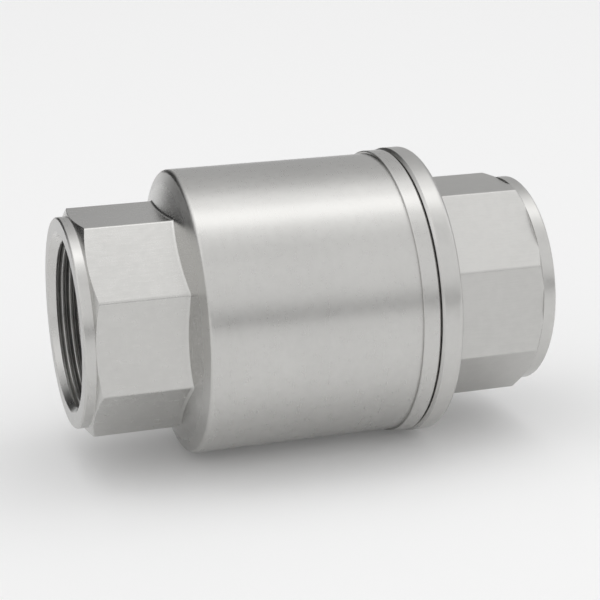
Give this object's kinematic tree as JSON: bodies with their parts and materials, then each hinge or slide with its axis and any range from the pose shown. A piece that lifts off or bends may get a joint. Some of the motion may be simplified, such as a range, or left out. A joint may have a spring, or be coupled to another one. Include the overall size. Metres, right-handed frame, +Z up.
{
  "type": "inline spring check valve",
  "caption": "Inline spring check valve: two-piece round casing with octagonal ends, female pipe threads, and a guided, spring-loaded poppet on a threaded-in seat.",
  "frame": {"origin": "on the flow axis, midway between the two port faces", "axes": "+X along the flow axis from the inlet port to the outlet port, +Z up, square to one of the body's spanner flats"},
  "size_m": [0.133, 0.0815, 0.0814],
  "materials": {
    "cast_stainless": "bead-blasted and lightly brushed cast stainless steel",
    "turned_stainless": "fine-turned stainless steel",
    "spring_steel": "drawn stainless spring wire and strip",
    "black_elastomer": "matt moulded elastomer",
    "white_ptfe": "waxy white fluoropolymer"
  },
  "bodies": {
    "casing": {"body": "cast_stainless", "end_cap": "cast_stainless", "cap_o_ring": "black_elastomer", "seat_ring": "turned_stainless", "seat_o_ring": "black_elastomer", "inlet_guide": "turned_stainless", "inlet_guide_bush": "white_ptfe", "outlet_guide": "turned_stainless", "outlet_guide_bush": "white_ptfe", "retaining_ring": "spring_steel", "spring_rest": "turned_stainless", "spring": "spring_steel"},
    "spring_carrier": {"spring_cup": "turned_stainless"},
    "poppet": {"poppet_disc": "turned_stainless", "poppet_stem": "turned_stainless", "stem_o_ring": "black_elastomer", "disc_seal": "white_ptfe", "seal_retainer": "turned_stainless", "lock_washer": "spring_steel", "stem_nut": "turned_stainless"}
  },
  "joints": [
    {"name": "poppet_lift", "type": "slide", "parent": "casing", "child": "spring_carrier", "axis": [1, 0, 0], "range_m": [0, 0.01], "stiffness_N_per_m": 400, "springref_m": -0.01, "deforming": ["spring"]},
    {"name": "poppet_spin", "type": "hinge", "parent": "spring_carrier", "child": "poppet", "pos_m": [0, 0, 0], "axis": [1, 0, 0], "continuous": true}
  ]
}
